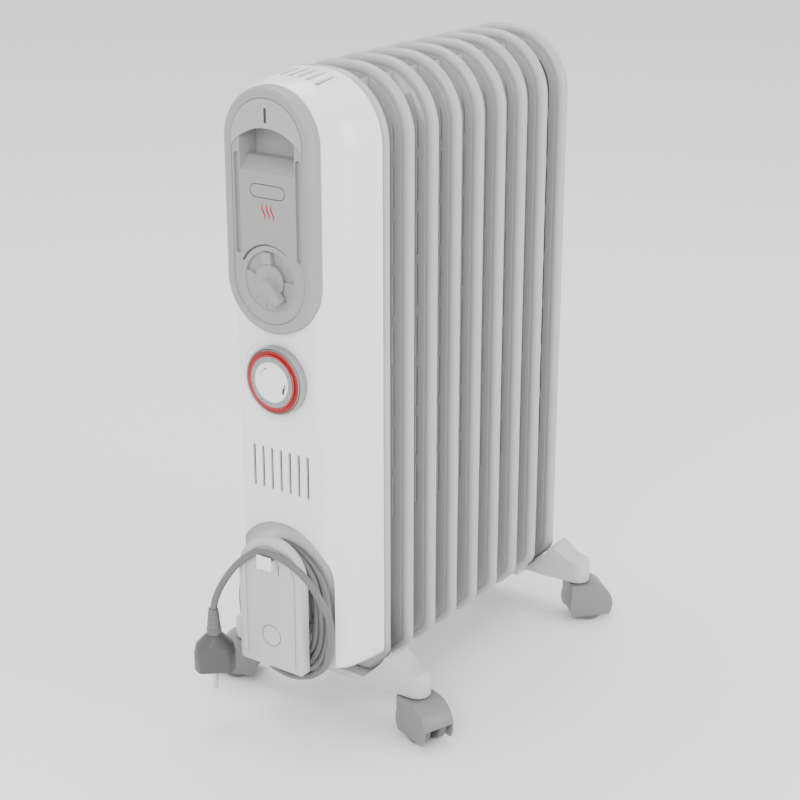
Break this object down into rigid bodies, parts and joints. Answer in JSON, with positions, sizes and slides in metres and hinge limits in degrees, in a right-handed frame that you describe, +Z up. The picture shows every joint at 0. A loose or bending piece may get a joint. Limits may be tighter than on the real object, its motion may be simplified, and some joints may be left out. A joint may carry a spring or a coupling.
{
  "type": "oil filled radiator",
  "caption": "Oil filled radiator with pressed fins, an arched control cover with timer and dials, wound mains cord with plug, and swivel casters.",
  "frame": {"origin": "middle of the footprint on the floor, under the middle of the length", "axes": "+Z up; the control panel faces -Y, so that +X is on the right of someone who looks at the panel"},
  "size_m": [0.301, 0.4826, 0.664],
  "materials": {
    "fin_enamel": "satin enamel",
    "cover_white": "gloss",
    "panel_grey": "satin",
    "cap_grey": "satin metallic look",
    "lens_dark": "gloss",
    "dial_red": "satin",
    "store_grey": "satin",
    "caster_grey": "satin",
    "wheel_grey": "satin",
    "cord_grey": "soft satin",
    "plug_grey": "soft satin",
    "steel_plated": "bright plated",
    "steel_bare": "plain",
    "ceramic_cream": "matte",
    "inner_black": "matte"
  },
  "bodies": {
    "heater": {"fin_1": "fin_enamel", "fin_2": "fin_enamel", "fin_3": "fin_enamel", "fin_4": "fin_enamel", "fin_5": "fin_enamel", "fin_6": "fin_enamel", "fin_7": "fin_enamel", "fin_8": "fin_enamel", "fin_9": "fin_enamel", "heating_element": "steel_bare", "element_flange": "steel_plated", "filler_plug": "steel_plated", "mounting_plate": "steel_bare", "thermal_cutout": "ceramic_cream", "terminal_block": "ceramic_cream", "tilt_switch": "inner_black", "front_cover": "cover_white", "cover_screws": "steel_plated", "control_bezel": "panel_grey", "fascia": "panel_grey", "handle_cap": "cap_grey", "indicator_lens": "lens_dark", "thermostat_body": "inner_black", "selector_switch": "ceramic_cream", "timer_housing": "panel_grey", "timer_face": "cover_white", "timer_motor": "inner_black", "cord_spool": "store_grey", "cord_plate": "store_grey", "cord_clip": "cover_white", "cord_gland": "cord_grey", "cord_tail": "cord_grey", "cord_coil": "cord_grey", "cord_lead": "cord_grey", "strain_relief": "cord_grey", "plug_body": "plug_grey", "plug_pins": "steel_plated", "front_foot": "store_grey", "rear_foot": "store_grey", "u_bolts": "steel_plated", "wing_nuts": "steel_plated", "caster_stems": "steel_plated"},
    "thermostat_lever": {"thermostat_ring": "panel_grey"},
    "selector": {"selector_knob": "panel_grey"},
    "timer_disc": {"timer_dial": "dial_red", "timer_tappets": "dial_red"},
    "tappet": {"timer_tappet": "dial_red"},
    "override": {"timer_override": "lens_dark"},
    "front_right_caster": {"front_right_hood": "caster_grey", "front_right_axle": "steel_plated"},
    "front_right_wheelset": {"front_right_wheels": "wheel_grey"},
    "front_left_caster": {"front_left_hood": "caster_grey", "front_left_axle": "steel_plated"},
    "front_left_wheelset": {"front_left_wheels": "wheel_grey"},
    "rear_right_caster": {"rear_right_hood": "caster_grey", "rear_right_axle": "steel_plated"},
    "rear_right_wheelset": {"rear_right_wheels": "wheel_grey"},
    "rear_left_caster": {"rear_left_hood": "caster_grey", "rear_left_axle": "steel_plated"},
    "rear_left_wheelset": {"rear_left_wheels": "wheel_grey"}
  },
  "joints": [
    {"name": "thermostat_turn", "type": "hinge", "parent": "heater", "child": "thermostat_lever", "pos_m": [0, -0.2078, 0.477], "axis": [0, -1, 0], "range_deg": [-72, 48]},
    {"name": "selector_turn", "type": "hinge", "parent": "heater", "child": "selector", "pos_m": [0, -0.2078, 0.477], "axis": [0, -1, 0], "range_deg": [-90, 0]},
    {"name": "timer_turn", "type": "hinge", "parent": "heater", "child": "timer_disc", "pos_m": [0, -0.2078, 0.379], "axis": [0, 1, 0], "continuous": true},
    {"name": "tappet_push", "type": "slide", "parent": "timer_disc", "child": "tappet", "axis": [0, -1, 0], "range_m": [0, 0.0016]},
    {"name": "override_slide", "type": "slide", "parent": "heater", "child": "override", "axis": [0.2924, 0, 0.9563], "range_m": [0, 0.004]},
    {"name": "front_right_swivel", "type": "hinge", "parent": "heater", "child": "front_right_caster", "pos_m": [0.1095, -0.1278, 0.03], "axis": [0, 0, 1], "continuous": true},
    {"name": "front_right_roll", "type": "hinge", "parent": "front_right_caster", "child": "front_right_wheelset", "pos_m": [0.12078, -0.13191, 0.02], "axis": [0.342, 0.9397, 0], "continuous": true},
    {"name": "front_left_swivel", "type": "hinge", "parent": "heater", "child": "front_left_caster", "pos_m": [-0.1095, -0.1278, 0.03], "axis": [0, 0, 1], "continuous": true},
    {"name": "front_left_roll", "type": "hinge", "parent": "front_left_caster", "child": "front_left_wheelset", "pos_m": [-0.12078, -0.13191, 0.02], "axis": [0.342, -0.9397, 0], "continuous": true},
    {"name": "rear_right_swivel", "type": "hinge", "parent": "heater", "child": "rear_right_caster", "pos_m": [0.1095, 0.1922, 0.03], "axis": [0, 0, 1], "continuous": true},
    {"name": "rear_right_roll", "type": "hinge", "parent": "rear_right_caster", "child": "rear_right_wheelset", "pos_m": [0.11753, 0.20111, 0.02], "axis": [-0.7431, 0.6691, 0], "continuous": true},
    {"name": "rear_left_swivel", "type": "hinge", "parent": "heater", "child": "rear_left_caster", "pos_m": [-0.1095, 0.1922, 0.03], "axis": [0, 0, 1], "continuous": true},
    {"name": "rear_left_roll", "type": "hinge", "parent": "rear_left_caster", "child": "rear_left_wheelset", "pos_m": [-0.11753, 0.20111, 0.02], "axis": [-0.7431, -0.6691, 0], "continuous": true}
  ]
}
